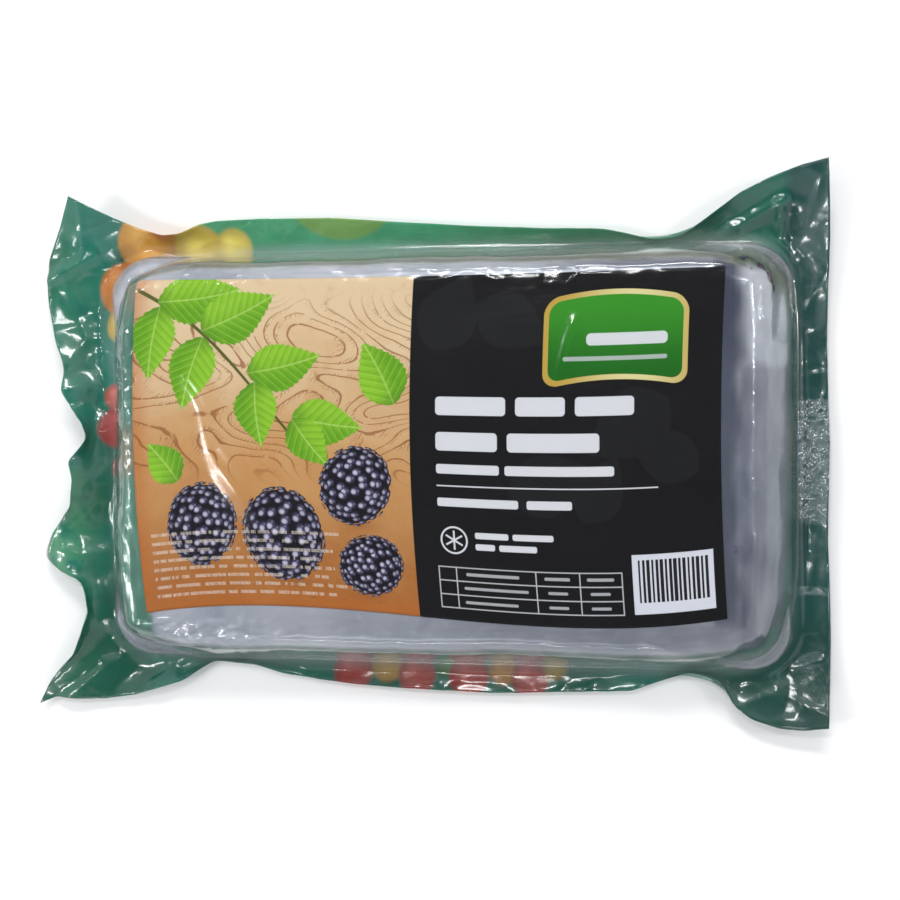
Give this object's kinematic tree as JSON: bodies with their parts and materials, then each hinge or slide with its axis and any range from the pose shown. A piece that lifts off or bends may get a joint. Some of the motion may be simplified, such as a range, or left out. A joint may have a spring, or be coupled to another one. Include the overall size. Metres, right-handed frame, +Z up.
{
  "type": "vacuum-sealed fruit pouch",
  "caption": "Flat vacuum-sealed plastic pouch of frozen blackberries: printed back web, clear front web, grey inner wrap, label and loose berries inside.",
  "frame": {"origin": "middle of the pouch's outer footprint, on the flat underside of the back web", "axes": "+X along the pouch's length, towards the end with the straight seal; +Y across it, towards the top of the label; +Z up through the front web"},
  "size_m": [0.2996, 0.2004, 0.0251],
  "materials": {
    "printed_film": "glossy printed film, teal green with yellow, orange and red fruit shapes",
    "clear_film": "clear glossy film, creased",
    "wrap_film": "satin silver-grey film, finely crinkled",
    "label_paper": "semi-gloss printed paper, parchment and black",
    "berry_skin": "frozen fruit, dark purple-black with a slight bloom"
  },
  "bodies": {
    "root": {"outer_back_film": "printed_film", "outer_front_film": "clear_film", "inner_back_film": "wrap_film", "inner_front_film": "wrap_film", "label": "label_paper", "berry_01": "berry_skin", "berry_02": "berry_skin", "berry_03": "berry_skin", "berry_04": "berry_skin", "berry_05": "berry_skin", "berry_06": "berry_skin", "berry_07": "berry_skin", "berry_08": "berry_skin", "berry_09": "berry_skin", "berry_10": "berry_skin", "berry_11": "berry_skin", "berry_12": "berry_skin", "berry_13": "berry_skin", "berry_14": "berry_skin", "berry_15": "berry_skin", "berry_16": "berry_skin", "berry_17": "berry_skin", "berry_18": "berry_skin", "berry_19": "berry_skin", "berry_20": "berry_skin", "berry_21": "berry_skin", "berry_22": "berry_skin", "berry_23": "berry_skin", "berry_24": "berry_skin", "berry_25": "berry_skin", "berry_26": "berry_skin", "berry_27": "berry_skin", "berry_28": "berry_skin", "berry_29": "berry_skin", "berry_30": "berry_skin", "berry_31": "berry_skin", "berry_32": "berry_skin", "berry_33": "berry_skin", "berry_34": "berry_skin", "berry_35": "berry_skin", "berry_36": "berry_skin", "berry_37": "berry_skin", "berry_38": "berry_skin", "berry_39": "berry_skin", "berry_40": "berry_skin", "berry_41": "berry_skin", "berry_42": "berry_skin", "berry_43": "berry_skin", "berry_44": "berry_skin", "berry_45": "berry_skin", "berry_46": "berry_skin", "berry_47": "berry_skin", "berry_48": "berry_skin", "berry_49": "berry_skin", "berry_50": "berry_skin", "berry_51": "berry_skin", "berry_52": "berry_skin", "berry_53": "berry_skin", "berry_54": "berry_skin"}
  },
  "joints": []
}
